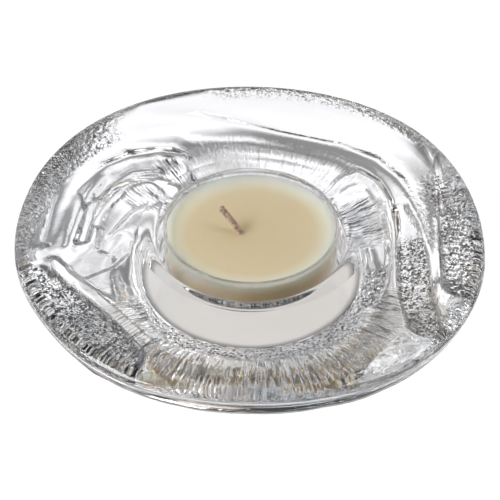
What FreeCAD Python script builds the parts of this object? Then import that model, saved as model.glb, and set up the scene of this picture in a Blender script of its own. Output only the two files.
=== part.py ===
import FreeCAD, Part
import os
from math import sin, cos, tan, pi, exp, hypot
from FreeCAD import Vector

# Tealight holder: a thick clear pressed-glass disc with a polished flat top, a rounded
# uneven rim, a bowl-shaped underside carrying a swirl of soft ridges, and a round
# recess that takes a standard tealight in a clear cup.
# Frame: +Z up, origin at the centre of the recess axis on the resting plane (z = 0).
# All lengths in millimetres.

# ---------------------------------------------------------------- driving dimensions
GLASS_H = 23.6            # resting plane to polished top
FOOT_R = 24.0             # flat disc the glass rests on
RIM_R_NOM = 51.6          # nominal rim radius that the section below is drawn at
LIP_R = 25.4              # crisp edge between polished top and recess lip
LIP_SHIFT_X = 0.7         # the polished top cuts the lip a little off centre
BORE_R = 20.3             # recess wall
BORE_FLOOR_Z = 12.8       # recess floor above the resting plane
BORE_FLOOR_R = 19.2       # flat part of the recess floor

CUP_GAP = 0.10            # cup floor above recess floor
CUP_H = 13.2              # low tealight cup height
CUP_R_TOP = 19.25         # standard tealight cup outer radius at the rim
CUP_R_BOTTOM = 18.80
CUP_WALL = 0.75
CUP_FLOOR = 0.80
CUP_CORNER = 1.6          # outer bottom corner radius

WAX_DROP = 2.3            # wax surface below the cup rim
WAX_MENISCUS = 0.9        # how far the wax climbs the wall above its own surface
WICK_R = 0.75
WICK_X = -2.0             # the wick stands a little off centre in the wax
WICK_Y = -0.3
WICK_LEAN = (-4.8, 2.7, 5.5)   # from the wax surface to the tip
WICK_BEND_R = 3.0
SUST_R = 6.25             # tinned-steel wick sustainer
SUST_T = 0.25
SUST_COLLAR_R = 1.15
SUST_COLLAR_H = 3.0

N_AROUND = 120            # spline poles round the body

# Rim radius every 15 degrees, starting on +X and going anticlockwise from above.
RIM_R = [51.3, 51.4, 52.3, 53.3, 53.6, 53.5, 53.5, 53.8, 54.2, 54.0, 53.2, 52.3,
         52.0, 52.0, 51.7, 52.1, 52.2, 51.7, 51.6, 52.2, 53.2, 53.3, 52.7, 52.1]
# Radius of the crisp outer edge of the polished top, same angles.
TOP_R = [45.0, 45.1, 45.2, 45.4, 45.2, 45.3, 45.7, 46.8, 46.9, 47.0, 46.6, 45.4,
         44.7, 44.8, 45.0, 45.2, 45.3, 45.2, 45.1, 45.3, 45.6, 45.6, 45.3, 45.1]

# Outer section, radius and height, from the foot edge up to the widest level and
# over the rim to the crisp edge of the polished top.
SECTION = [(24.0, 0.0), (24.7, 0.75), (25.6, 1.7), (27.4, 3.7), (29.8, 5.8), (32.6, 7.6),
           (35.6, 9.0), (38.4, 10.0), (41.0, 10.8), (43.4, 11.6), (45.5, 12.5),
           (47.2, 13.7), (48.7, 15.2), (49.9, 17.0), (50.8, 18.6), (51.4, 19.9),
           (51.6, 20.9), (51.25, 21.75), (50.3, 22.5), (48.9, 23.05), (47.1, 23.42),
           (45.2, 23.6)]

# Recess section, radius and depth below the top.
RECESS = [(25.4, 0.0), (24.5, 0.13), (23.5, 0.27), (22.5, 0.44), (21.7, 0.70), (21.05, 1.20),
          (20.62, 2.0), (20.4, 3.2), (20.3, 4.8), (20.3, 6.6), (20.3, 9.4), (20.17, 10.2),
          (19.8, 10.65), (19.2, 10.8)]

# Where the flange turns down into the bowl wall: (angle from +X in degrees, radius).
WALL = [(0, 24.6), (15, 24.6), (30, 25.5), (40, 28.0), (47, 31.0), (53, 35.0), (58, 37.5), (66, 38.6),
        (90, 39.0), (105, 39.0), (109, 38.0), (112, 35.5), (116, 32.0), (122, 29.5), (130, 27.5),
        (145, 26.0), (160, 25.2), (180, 25.0), (200, 26.0), (212, 28.5), (222, 32.0), (232, 35.5),
        (242, 38.0), (255, 39.0), (290, 39.0), (305, 38.0), (315, 36.0), (325, 33.5), (335, 30.5),
        (345, 27.0), (355, 25.0), (360, 24.6)]
WALL_REF = 39.0
# How far each point of the section follows that wall in and out.
FOLLOW = [0, 0.01, 0.05, 0.19, 0.36, 0.50, 0.58, 0.55, 0.40, 0.20, 0.06, 0, 0, 0, 0, 0, 0, 0, 0, 0, 0, 0]

# Swirl relief: soft ridges (positive, glass thicker) and grooves (negative) as
# (height, half width, plan line). Plan coordinates are measured from the recess axis.
WAVES = [
    (0.75, 2.6, [(-36, 46), (-30, 49), (-20, 49.5), (-10, 48.5), (0, 46), (10, 42.5), (20, 39.5),
                 (28, 35.5), (34, 30), (38, 23), (40.5, 13), (41.5, 3), (41, -7)]),
    (-0.62, 1.6, [(-24, 46), (-12, 46.5), (0, 43.5), (10, 40), (20, 37), (28, 31.5), (33, 25),
                  (36.5, 15), (38, 3), (38, -9)]),
    (0.45, 1.5, [(-13, 41), (0, 41), (10, 38), (20, 34.5), (27, 29), (31, 22), (33.5, 13),
                 (34.5, 1), (34, -11)]),
    (-1.0, 1.4, [(20.5, 26.5), (24, 28), (28, 24.5), (30.5, 18), (31.5, 8), (31.5, -4)]),
    (0.75, 1.9, [(-45.5, 4), (-43.5, 15), (-40.5, 24), (-36, 31.5), (-30, 36), (-24, 37.5),
                 (-17, 38), (-13, 35), (-12.5, 30)]),
    (-0.90, 1.5, [(-40, 2), (-38, 13), (-36, 21), (-32.5, 29), (-27, 32.5), (-20, 34.5), (-15.5, 34)]),
    (0.65, 1.5, [(-37.5, 5), (-35.5, 15), (-32, 24), (-27, 29), (-21, 30.5)]),
    (-0.75, 1.4, [(-35, 4), (-33, 14), (-30, 20), (-27, 23.5), (-23, 24.5)]),
    (0.60, 1.5, [(-32.5, 3), (-30, 12), (-27, 18), (-24, 19)]),
    (0.65, 2.0, [(-29, 1), (-28, -7), (-26, -15), (-21, -23), (-15, -28)]),
    (-0.80, 1.5, [(-43, -3), (-38, -9), (-32, -15), (-26, -21), (-21, -26)]),
    (-0.75, 1.4, [(42.5, 12), (42.5, 2), (41.5, -8), (40, -16)]),
    (-0.65, 1.4, [(-38, -34), (-28, -41), (-15, -45), (0, -46.5), (15, -46), (28, -41), (37, -33)]),
]
# Raised arms with a sloping flank and a rounded end: (height, flank, [(x, y, half width), ...]).
ARMS = [
    (1.0, 2.4, [(23.2, 21.5, 2.9), (25.0, 16, 3.6), (26.0, 8, 3.8), (26.4, 0, 3.9), (26, -7, 3.6), (25, -12, 2.6)]),
    (1.3, 2.4, [(42.5, 30, 1.2), (44.5, 22, 2.4), (45.4, 12, 3.4), (45.8, 2, 3.9), (45.6, -6, 3.7), (45.2, -10.5, 3.0)]),
    (1.0, 2.4, [(33.5, 16, 1.2), (35.0, 8, 2.4), (35.4, 0, 3.3), (35.6, -10, 3.5), (36.4, -18, 3.2), (37, -22.5, 2.6)]),
    (1.6, 2.6, [(-46.5, -7, 2.8), (-42, -14.5, 4.4), (-36.5, -22, 5.4), (-31, -28.5, 5.2), (-27.0, -32.0, 4.0)]),
    (0.9, 2.2, [(-38, 12, -1.2), (-36.2, 20, 1.9), (-32.5, 25.2, 2.4), (-26.5, 29.0, 2.9), (-21, 30.2, 3.3), (-17.8, 29.6, 3.5)]),
    (0.8, 2.2, [(-33.5, 2, -1.0), (-32.3, 10, 1.9), (-28.8, 16.5, 2.3), (-25.2, 20.5, 2.6), (-23.0, 22.0, 2.5)]),
    (0.6, 2.2, [(-37, -5, 2.6), (-33, -1, 3.4), (-30, 3.5, 3.2), (-28.4, 6.8, 2.1)]),
]


# ---------------------------------------------------------------- shape functions
def ring(values, t):
    n = len(values)
    x = (t / (2.0 * pi) * n) % n
    i = int(x)
    f = x - i
    a, b, c, d = [values[(i + k - 1) % n] for k in range(4)]
    return 0.5 * (2 * b + (c - a) * f + (2 * a - 5 * b + 4 * c - d) * f * f
                  + (-a + 3 * b - 3 * c + d) * f ** 3)


def line_distance(x, y, pts):
    best = 1e9
    for (x0, y0), (x1, y1) in zip(pts, pts[1:]):
        dx, dy = x1 - x0, y1 - y0
        u = ((x - x0) * dx + (y - y0) * dy) / (dx * dx + dy * dy)
        u = 0.0 if u < 0 else (1.0 if u > 1 else u)
        best = min(best, hypot(x - x0 - u * dx, y - y0 - u * dy))
    return best


def arm_inside(x, y, pts):
    """How far inside an arm the point lies (positive inside)."""
    best = -1e9
    for (x0, y0, r0), (x1, y1, r1) in zip(pts, pts[1:]):
        dx, dy = x1 - x0, y1 - y0
        u = ((x - x0) * dx + (y - y0) * dy) / (dx * dx + dy * dy)
        u = 0.0 if u < 0 else (1.0 if u > 1 else u)
        best = max(best, r0 + (r1 - r0) * u - hypot(x - x0 - u * dx, y - y0 - u * dy))
    return best


def relief(x, y):
    h = 0.0
    for amp, width, pts in WAVES:
        d = line_distance(x, y, pts) / width
        if d < 3.0:
            h += amp * exp(-d * d)
    for amp, flank, pts in ARMS:
        f = arm_inside(x, y, pts) / flank * 0.5 + 0.5
        f = 0.0 if f < 0 else (1.0 if f > 1 else f)
        h += amp * f * f * (3 - 2 * f)
    return h


def wall_raw(deg):
    deg = deg % 360.0
    for (a0, r0), (a1, r1) in zip(WALL, WALL[1:]):
        if a0 <= deg <= a1:
            return r0 + (r1 - r0) * (deg - a0) / (a1 - a0)
    return WALL[0][1]


def wall_shift(t):
    """Wall radius less its reference, eased over a few degrees."""
    deg = t * 180.0 / pi
    total = weight = 0.0
    for i in range(-4, 5):
        w = exp(-(i / 2.5) ** 2)
        total += w * wall_raw(deg + i * 1.2)
        weight += w
    return total / weight - WALL_REF


def outer_point(k, t):
    """Point k of the outer section at angle t, with rim outline and swirl relief."""
    r, z = SECTION[k]
    last = len(SECTION) - 1
    rim = ring(RIM_R, t)
    w = (r - FOOT_R) / (RIM_R_NOM - FOOT_R)
    rr = r + (rim - RIM_R_NOM) * w + wall_shift(t) * FOLLOW[k]
    if k >= 16:                       # over the rim: run in to the edge of the top
        f = (r - SECTION[last][0]) / (RIM_R_NOM - SECTION[last][0])
        top = ring(TOP_R, t)
        rr = top + (rim - top) * f
    x, y = rr * cos(t), rr * sin(t)
    if 3 <= k <= 14:
        fade = min(1.0, (k - 2) / 3.0) * min(1.0, (15 - k) / 3.0)
        z -= relief(x, y) * fade
    return Vector(x, y, z)


def skin(grid):
    """Face of a cubic spline surface, closed round the axis, through rows of poles."""
    rows = len(grid[0])
    n = len(grid)
    vk = [float(i) for i in range(rows - 2)]
    vm = [4] + [1] * (rows - 4) + [4]
    uk = [float(i) for i in range(n + 1)]
    um = [1] * (n + 1)
    s = Part.BSplineSurface()
    s.buildFromPolesMultsKnots(grid, um, vm, uk, vk, True, False, 3, 3)
    return s.toShape()


def end_edges(face):
    """The two closed edges of a skin, lowest first."""
    closed = [e for e in face.Edges if e.isClosed()]
    closed.sort(key=lambda e: e.BoundBox.ZMax)
    return closed[0], closed[-1]


def revolve_profile(points):
    """Solid of revolution about Z from a closed list of (r, z) corners."""
    vs = [Vector(r, 0, z) for r, z in points]
    w = Part.makePolygon(vs + [vs[0]])
    return Part.Face(w).revolve(Vector(0, 0, 0), Vector(0, 0, 1), 360)


# ---------------------------------------------------------------- glass body
angles = [2.0 * pi * i / N_AROUND for i in range(N_AROUND)]
outer = skin([[outer_point(k, t) for k in range(len(SECTION))] for t in angles])

inner_grid = []
for t in angles:
    row = []
    for k, (r, depth) in enumerate(RECESS):
        f = max(0.0, (r - BORE_R) / (LIP_R - BORE_R))
        row.append(Vector(r * cos(t) + LIP_SHIFT_X * f, r * sin(t), GLASS_H - depth))
    inner_grid.append(row)
inner = skin(inner_grid)

foot_edge, top_edge = end_edges(outer)
floor_edge, lip_edge = end_edges(inner)
foot_face = Part.Face(Part.Wire(foot_edge))
floor_face = Part.Face(Part.Wire(floor_edge))
top_face = Part.makeFace([Part.Wire(top_edge), Part.Wire(lip_edge)], "Part::FaceMakerBullseye")
shell = Part.makeShell([outer, inner, foot_face, floor_face, top_face])
shell.sewShape()
if shell.ShapeType != "Shell":
    shell = shell.Shells[0]
glass_body = Part.makeSolid(shell)
if glass_body.Volume < 0:
    glass_body.reverse()

# ---------------------------------------------------------------- tealight cup
cup_z0 = BORE_FLOOR_Z + CUP_GAP
cup_z1 = cup_z0 + CUP_H
taper = (CUP_R_TOP - CUP_R_BOTTOM) / CUP_H


def cup_outer_r(z):
    return CUP_R_BOTTOM + taper * (z - cup_z0)


def cup_inner_r(z):
    return cup_outer_r(z) - CUP_WALL


cup_blank = revolve_profile([(0, cup_z0), (CUP_R_BOTTOM, cup_z0), (CUP_R_TOP, cup_z1), (0, cup_z1)])
bottom_edges = [e for e in cup_blank.Edges
                if abs(e.BoundBox.ZMax - cup_z0) < 1e-6 and e.BoundBox.XMax > CUP_R_BOTTOM - 0.01
                and e.isClosed()]
cup_blank = cup_blank.makeFillet(CUP_CORNER, bottom_edges)
hz0 = cup_z0 + CUP_FLOOR
cup_hollow = revolve_profile([(0, hz0), (cup_inner_r(hz0), hz0), (cup_inner_r(cup_z1 + 1), cup_z1 + 1),
                              (0, cup_z1 + 1)])
hollow_edges = [e for e in cup_hollow.Edges
                if abs(e.BoundBox.ZMax - hz0) < 1e-6 and e.isClosed() and e.BoundBox.XMax > 10]
cup_hollow_round = cup_hollow.makeFillet(CUP_CORNER - CUP_WALL, hollow_edges)
tealight_cup = cup_blank.cut(cup_hollow_round)
rim_edges = [e for e in tealight_cup.Edges if abs(e.BoundBox.ZMin - cup_z1) < 1e-6 and e.isClosed()]
tealight_cup = tealight_cup.makeFillet(0.3, rim_edges)

# ---------------------------------------------------------------- sustainer and wick
wax_z = cup_z1 - WAX_DROP
sust_z = hz0
axis = Vector(0, 0, 1)
wick_base = Vector(WICK_X, WICK_Y, sust_z)
disc = Part.makeCylinder(SUST_R, SUST_T, wick_base, axis)
collar = Part.makeCylinder(SUST_COLLAR_R, SUST_COLLAR_H, wick_base, axis)
bore = Part.makeCylinder(WICK_R, SUST_COLLAR_H + 1, wick_base - Vector(0, 0, 0.5), axis)
wick_sustainer = disc.fuse(collar).cut(bore).removeSplitter()

lean = Vector(*WICK_LEAN)
lean_len = lean.Length
lean.normalize()
turn = lean.getAngle(axis)
side = Vector(lean.x, lean.y, 0)
side.normalize()
tangent = WICK_BEND_R * tan(turn / 2.0)
corner = Vector(WICK_X, WICK_Y, wax_z)
a0 = corner - axis * tangent
a1 = corner + lean * tangent
centre = a0 + side * WICK_BEND_R
mid_dir = (a0 - centre) * cos(turn / 2.0) + axis * (WICK_BEND_R * sin(turn / 2.0))
mid = centre + mid_dir
tip = corner + lean * lean_len
path = Part.Wire([Part.LineSegment(wick_base, a0).toShape(),
                  Part.Arc(a0, mid, a1).toShape(),
                  Part.LineSegment(a1, tip).toShape()])
ring_wire = Part.Wire(Part.makeCircle(WICK_R, wick_base, axis))
wick = path.makePipeShell([ring_wire], True, True)
if wick.ShapeType != "Solid":
    wick = wick.Solids[0]

# ---------------------------------------------------------------- wax
m = WAX_MENISCUS
r_top = cup_inner_r(wax_z + m)
wax_pts = [Vector(0, 0, hz0), Vector(cup_inner_r(hz0), 0, hz0), Vector(r_top, 0, wax_z + m)]
wedge = [Part.LineSegment(wax_pts[0], wax_pts[1]).toShape(),
         Part.LineSegment(wax_pts[1], wax_pts[2]).toShape()]
climb = Part.BSplineCurve()
climb.interpolate([Vector(r_top, 0, wax_z + m), Vector(r_top - 0.5, 0, wax_z + 0.62 * m),
                   Vector(r_top - 1.3, 0, wax_z + 0.25 * m), Vector(r_top - 2.8, 0, wax_z + 0.04 * m),
                   Vector(r_top - 4.2, 0, wax_z)])
wedge.append(climb.toShape())
wedge.append(Part.LineSegment(Vector(r_top - 4.2, 0, wax_z), Vector(0, 0, wax_z)).toShape())
wedge.append(Part.LineSegment(Vector(0, 0, wax_z), Vector(0, 0, hz0)).toShape())
wax_blank = Part.Face(Part.Wire(wedge)).revolve(Vector(0, 0, 0), axis, 360)
wax_bottom = [e for e in wax_blank.Edges
              if abs(e.BoundBox.ZMax - hz0) < 1e-6 and e.isClosed() and e.BoundBox.XMax > 10]
wax_blank = wax_blank.makeFillet(CUP_CORNER - CUP_WALL, wax_bottom)
wax = wax_blank.cut(disc.fuse(collar)).cut(wick)
if wax.ShapeType != "Solid":
    wax = max(wax.Solids, key=lambda s: s.Volume)

# ---------------------------------------------------------------- write the nodes
os.makedirs("parts", exist_ok=True)
nodes = {
    "glass_body": glass_body,
    "tealight_cup": tealight_cup,
    "wax": wax,
    "wick": wick,
    "wick_sustainer": wick_sustainer,
}
for name in list(nodes):
    if nodes[name].ShapeType != "Solid":
        nodes[name] = max(nodes[name].Solids, key=lambda q: q.Volume)
for name, shape in nodes.items():
    b = shape.optimalBoundingBox(True, False)
    print(name, shape.ShapeType, "valid", shape.isValid(), "closed",
          all(s.isClosed() for s in shape.Shells), "vol %.1f" % shape.Volume,
          "box %.2f %.2f %.2f .. %.2f %.2f %.2f" % (b.XMin, b.YMin, b.ZMin, b.XMax, b.YMax, b.ZMax))
    shape.exportStep(os.path.join("parts", name + ".step"))
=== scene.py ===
import math
import bpy
import bmesh
import numpy as np
from mathutils import Vector, Matrix


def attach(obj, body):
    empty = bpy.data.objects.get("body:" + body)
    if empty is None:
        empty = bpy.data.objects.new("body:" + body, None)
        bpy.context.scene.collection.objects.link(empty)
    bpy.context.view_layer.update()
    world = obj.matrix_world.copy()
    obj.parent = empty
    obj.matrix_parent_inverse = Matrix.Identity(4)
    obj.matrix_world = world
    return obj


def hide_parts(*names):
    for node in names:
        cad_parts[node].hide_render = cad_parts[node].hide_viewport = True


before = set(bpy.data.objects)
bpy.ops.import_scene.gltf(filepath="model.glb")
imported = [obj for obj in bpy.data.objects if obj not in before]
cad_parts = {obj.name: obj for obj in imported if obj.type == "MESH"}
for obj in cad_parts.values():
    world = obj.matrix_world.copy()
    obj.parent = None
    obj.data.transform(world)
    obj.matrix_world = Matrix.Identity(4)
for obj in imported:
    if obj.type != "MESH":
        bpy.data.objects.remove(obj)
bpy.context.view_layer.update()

MM = 0.001
TAU = 2.0 * math.pi

# ------------------------------------------------------------------ glass shape (mm)
GLASS_H = 23.6
FOOT_R = 24.0
RIM_R_NOM = 51.6
LIP_R = 25.4
LIP_SHIFT_X = 0.7
BORE_R = 20.3

RIM_R = [51.3, 51.4, 52.3, 53.3, 53.6, 53.5, 53.5, 53.8, 54.2, 54.0, 53.2, 52.3,
         52.0, 52.0, 51.7, 52.1, 52.2, 51.7, 51.6, 52.2, 53.2, 53.3, 52.7, 52.1]
TOP_R = [45.0, 45.1, 45.2, 45.4, 45.2, 45.3, 45.7, 46.8, 46.9, 47.0, 46.6, 45.4,
         44.7, 44.8, 45.0, 45.2, 45.3, 45.2, 45.1, 45.3, 45.6, 45.6, 45.3, 45.1]
SECTION = [(24.0, 0.0), (24.7, 0.75), (25.6, 1.7), (27.4, 3.7), (29.8, 5.8), (32.6, 7.6),
           (35.6, 9.0), (38.4, 10.0), (41.0, 10.8), (43.4, 11.6), (45.5, 12.5),
           (47.2, 13.7), (48.7, 15.2), (49.9, 17.0), (50.8, 18.6), (51.4, 19.9),
           (51.6, 20.9), (51.25, 21.75), (50.3, 22.5), (48.9, 23.05), (47.1, 23.42),
           (45.2, 23.6)]
RECESS = [(25.4, 0.0), (24.5, 0.13), (23.5, 0.27), (22.5, 0.44), (21.7, 0.70), (21.05, 1.20), (20.62, 2.0),
          (20.4, 3.2), (20.3, 4.8), (20.3, 6.6), (20.3, 9.4), (20.17, 10.2), (19.8, 10.65), (19.2, 10.8)]
# Radius at which the flange turns down into the bowl wall, against the angle from +X.
WALL = [(0, 24.6), (15, 24.6), (30, 25.5), (40, 28.0), (47, 31.0), (53, 35.0), (58, 37.5), (66, 38.6),
        (90, 39.0), (105, 39.0), (109, 38.0), (112, 35.5), (116, 32.0), (122, 29.5), (130, 27.5),
        (145, 26.0), (160, 25.2), (180, 25.0), (200, 26.0), (212, 28.5), (222, 32.0), (232, 35.5),
        (242, 38.0), (255, 39.0), (290, 39.0), (305, 38.0), (315, 36.0), (325, 33.5), (335, 30.5),
        (345, 27.0), (355, 25.0)]
WALL_REF = 39.0
# How far each point of the section follows the wall in and out.
FOLLOW = [0, 0.01, 0.05, 0.19, 0.36, 0.50, 0.58, 0.55, 0.40, 0.20, 0.06, 0, 0, 0, 0, 0, 0, 0, 0, 0, 0, 0]
# soft waves: (height, half width, plan line)
WAVE_GAIN = 1.5
WAVES = [
    (0.50, 2.6, [(-36, 46), (-30, 49), (-20, 49.5), (-10, 48.5), (0, 46), (10, 42.5), (20, 39.5),
                 (28, 35.5), (34, 30), (38, 23), (40.5, 13), (41.5, 3), (41, -7)]),
    (-0.41, 1.6, [(-24, 46), (-12, 46.5), (0, 43.5), (10, 40), (20, 37), (28, 31.5), (33, 25),
                  (36.5, 15), (38, 3), (38, -9)]),
    (0.30, 1.5, [(-13, 41), (0, 41), (10, 38), (20, 34.5), (27, 29), (31, 22), (33.5, 13),
                 (34.5, 1), (34, -11)]),
    (-0.70, 1.0, [(20.5, 26.5), (24, 28), (28, 24.5), (30.5, 18), (31.5, 8), (31.5, -4)]),
    (0.50, 1.9, [(-45.5, 4), (-43.5, 15), (-40.5, 24), (-36, 31.5), (-30, 36), (-24, 37.5),
                 (-17, 38), (-13, 35), (-12.5, 30)]),
    (-0.60, 1.3, [(-40, 2), (-38, 13), (-36, 21), (-32.5, 29), (-27, 32.5), (-20, 34.5), (-15.5, 34)]),
    (0.45, 1.5, [(-37.5, 5), (-35.5, 15), (-32, 24), (-27, 29), (-21, 30.5)]),
    (-0.50, 1.2, [(-35, 4), (-33, 14), (-30, 20), (-27, 23.5), (-23, 24.5)]),
    (0.40, 1.5, [(-32.5, 3), (-30, 12), (-27, 18), (-24, 19)]),
    (0.45, 2.0, [(-29, 1), (-28, -7), (-26, -15), (-21, -23), (-15, -28)]),
    (-0.55, 1.4, [(-43, -3), (-38, -9), (-32, -15), (-26, -21), (-21, -26)]),
    (-0.50, 1.2, [(42.5, 12), (42.5, 2), (41.5, -8), (40, -16)]),
    (-0.45, 1.3, [(-38, -34), (-28, -41), (-15, -45), (0, -46.5), (15, -46), (28, -41), (37, -33)]),
]
# raised arms with a steep flank and a rounded end: (height, flank, [(x, y, half width), ...])
ARMS = [
    (1.1, 0.9, [(23.2, 21.5, 2.9), (25.0, 16, 3.6), (26.0, 8, 3.8), (26.4, 0, 3.9), (26, -7, 3.6), (25, -12, 2.6)]),
    (1.5, 0.9, [(42.5, 30, 1.2), (44.5, 22, 2.4), (45.4, 12, 3.4), (45.8, 2, 3.9), (45.6, -6, 3.7), (45.2, -10.5, 3.0)]),
    (1.2, 0.9, [(33.5, 16, 1.2), (35.0, 8, 2.4), (35.4, 0, 3.3), (35.6, -10, 3.5), (36.4, -18, 3.2), (37, -22.5, 2.6)]),
    (1.8, 1.1, [(-46.5, -7, 2.8), (-42, -14.5, 4.4), (-36.5, -22, 5.4), (-31, -28.5, 5.2), (-27.0, -32.0, 4.0)]),
    (1.0, 0.8, [(-38, 12, -1.2), (-36.2, 20, 1.9), (-32.5, 25.2, 2.4), (-26.5, 29.0, 2.9), (-21, 30.2, 3.3), (-17.8, 29.6, 3.5)]),
    (0.9, 0.9, [(-33.5, 2, -1.0), (-32.3, 10, 1.9), (-28.8, 16.5, 2.3), (-25.2, 20.5, 2.6), (-23.0, 22.0, 2.5)]),
    (0.7, 0.7, [(-37, -5, 2.6), (-33, -1, 3.4), (-30, 3.5, 3.2), (-28.4, 6.8, 2.1)]),
]


# darkness of the painted crease shade along each arm, one value per arm
CREASE_SHADE = (0.46, 0.64, 0.45, 0.72, 0.56, 0.42, 0.10)


def ring(values, t):
    v = np.asarray(values, float)
    n = len(v)
    x = (t / TAU * n) % n
    i = np.floor(x).astype(int)
    f = x - i
    a, b, c, d = [v[(i + k - 1) % n] for k in range(4)]
    return 0.5 * (2 * b + (c - a) * f + (2 * a - 5 * b + 4 * c - d) * f * f
                  + (-a + 3 * b - 3 * c + d) * f ** 3)


def spline_weights(count, samples):
    """Rows of cubic B-spline weights, clamped ends, uniform inside."""
    knots = np.concatenate([np.zeros(3), np.arange(count - 2), np.full(3, count - 3)]).astype(float)
    out = np.zeros((len(samples), count))
    for row, u in enumerate(samples):
        u = min(max(u, 0.0), count - 3 - 1e-9)
        span = 3 + int(u)
        w = np.zeros(4)
        w[0] = 1.0
        left = np.zeros(4)
        right = np.zeros(4)
        for j in range(1, 4):
            left[j] = u - knots[span + 1 - j]
            right[j] = knots[span + j] - u
            saved = 0.0
            for r in range(j):
                tmp = w[r] / (right[r + 1] + left[j - r])
                w[r] = saved + right[r + 1] * tmp
                saved = left[j - r] * tmp
            w[j] = saved
        out[row, span - 3:span + 1] = w
    return out


def line_distance(x, y, pts):
    best = np.full(x.shape, 1e9)
    for (x0, y0), (x1, y1) in zip(pts, pts[1:]):
        dx, dy = x1 - x0, y1 - y0
        u = np.clip(((x - x0) * dx + (y - y0) * dy) / (dx * dx + dy * dy), 0, 1)
        best = np.minimum(best, np.hypot(x - x0 - u * dx, y - y0 - u * dy))
    return best


def arm_inside(x, y, pts):
    """How far inside the arm a point is (mm, positive inside)."""
    best = np.full(x.shape, -1e9)
    for (x0, y0, r0), (x1, y1, r1) in zip(pts, pts[1:]):
        dx, dy = x1 - x0, y1 - y0
        u = np.clip(((x - x0) * dx + (y - y0) * dy) / (dx * dx + dy * dy), 0, 1)
        best = np.maximum(best, r0 + (r1 - r0) * u - np.hypot(x - x0 - u * dx, y - y0 - u * dy))
    return best


def relief(x, y):
    h = np.zeros_like(x)
    for amp, width, pts in WAVES:
        d = line_distance(x, y, pts) / width
        h += WAVE_GAIN * amp * np.exp(-d * d)
    for amp, flank, pts in ARMS:
        f = np.clip(arm_inside(x, y, pts) / flank * 0.5 + 0.5, 0, 1)
        h += amp * f * f * (3 - 2 * f)
    return h


def value_noise(x, y, scale, seed):
    """Smooth seeded noise, -1..1, with features about `scale` mm across."""
    rng = np.random.RandomState(seed)
    grid = rng.rand(128, 128) * 2 - 1
    u = x / scale + 64.0
    v = y / scale + 64.0
    i = np.floor(u).astype(int)
    j = np.floor(v).astype(int)
    f = u - i
    g = v - j
    f = f * f * (3 - 2 * f)
    g = g * g * (3 - 2 * g)
    a = grid[i % 128, j % 128]
    b = grid[(i + 1) % 128, j % 128]
    c = grid[i % 128, (j + 1) % 128]
    d = grid[(i + 1) % 128, (j + 1) % 128]
    return (a * (1 - f) + b * f) * (1 - g) + (c * (1 - f) + d * f) * g


def bump_window(v, lo, hi, soft):
    return np.clip((v - lo) / soft, 0, 1) * np.clip((hi - v) / soft, 0, 1)


def smooth01(v):
    v = np.clip(v, 0, 1)
    return v * v * (3 - 2 * v)


# ------------------------------------------------------------------ mesh helpers
def new_object(name, verts, faces, smooth=True):
    me = bpy.data.meshes.new(name)
    me.from_pydata([tuple(v) for v in verts], [], faces)
    me.validate()
    me.update()
    if smooth:
        me.polygons.foreach_set("use_smooth", [True] * len(me.polygons))
    ob = bpy.data.objects.new(name, me)
    bpy.context.scene.collection.objects.link(ob)
    return ob


def grid_mesh(name, rows, close_start=True, close_end=True, sharp_rows=()):
    """Closed skin through rows of rings; each row is (n, 3) in mm. Ends are closed by a fan."""
    n = rows[0].shape[0]
    k = len(rows)
    verts = np.concatenate(rows, 0)
    idx = np.arange(n)
    nxt = (idx + 1) % n
    quads = []
    for r in range(k - 1):
        a = r * n + idx
        b = r * n + nxt
        c = (r + 1) * n + nxt
        d = (r + 1) * n + idx
        quads.append(np.stack([a, b, c, d], 1))
    quads = np.concatenate(quads, 0)
    faces_q = quads
    extra = []
    tris = []
    if close_start:
        extra.append(rows[0].mean(0))
        c0 = len(verts) + len(extra) - 1
        tris.append(np.stack([np.full(n, c0), nxt, idx], 1))
    if close_end:
        extra.append(rows[-1].mean(0))
        c1 = len(verts) + len(extra) - 1
        tris.append(np.stack([np.full(n, c1), (k - 1) * n + idx, (k - 1) * n + nxt], 1))
    if extra:
        verts = np.concatenate([verts, np.array(extra)], 0)
    tris = np.concatenate(tris, 0) if tris else np.zeros((0, 3), int)
    me = bpy.data.meshes.new(name)
    nv = len(verts)
    me.vertices.add(nv)
    me.vertices.foreach_set("co", (verts * MM).astype(np.float32).ravel())
    loops = np.concatenate([faces_q.ravel(), tris.ravel()]).astype(np.int32)
    starts = np.concatenate([np.arange(len(faces_q)) * 4,
                             len(faces_q) * 4 + np.arange(len(tris)) * 3]).astype(np.int32)
    me.loops.add(len(loops))
    me.loops.foreach_set("vertex_index", loops)
    me.polygons.add(len(starts))
    me.polygons.foreach_set("loop_start", starts)
    me.polygons.foreach_set("use_smooth", np.ones(len(starts), bool))
    me.update(calc_edges=True)
    me.validate()
    if sharp_rows:
        ev = np.zeros(len(me.edges) * 2, np.int32)
        me.edges.foreach_get("vertices", ev)
        ev = ev.reshape(-1, 2)
        sharp = np.zeros(len(me.edges), bool)
        for r in sharp_rows:
            inside = (ev >= r * n) & (ev < (r + 1) * n)
            sharp |= inside.all(1)
        att = me.attributes.new("sharp_edge", "BOOLEAN", "EDGE") if "sharp_edge" not in me.attributes \
            else me.attributes["sharp_edge"]
        att.data.foreach_set("value", sharp)
    me.update()
    ob = bpy.data.objects.new(name, me)
    bpy.context.scene.collection.objects.link(ob)
    # outward normals
    bm = bmesh.new()
    bm.from_mesh(me)
    bmesh.ops.recalc_face_normals(bm, faces=bm.faces)
    bm.to_mesh(me)
    bm.free()
    return ob


def set_float(me, name, values):
    att = me.attributes.new(name, "FLOAT", "POINT")
    att.data.foreach_set("value", np.asarray(values, np.float32))


# ------------------------------------------------------------------ glass body
NT = 1080
NS = 190
SURFACE = {}


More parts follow.
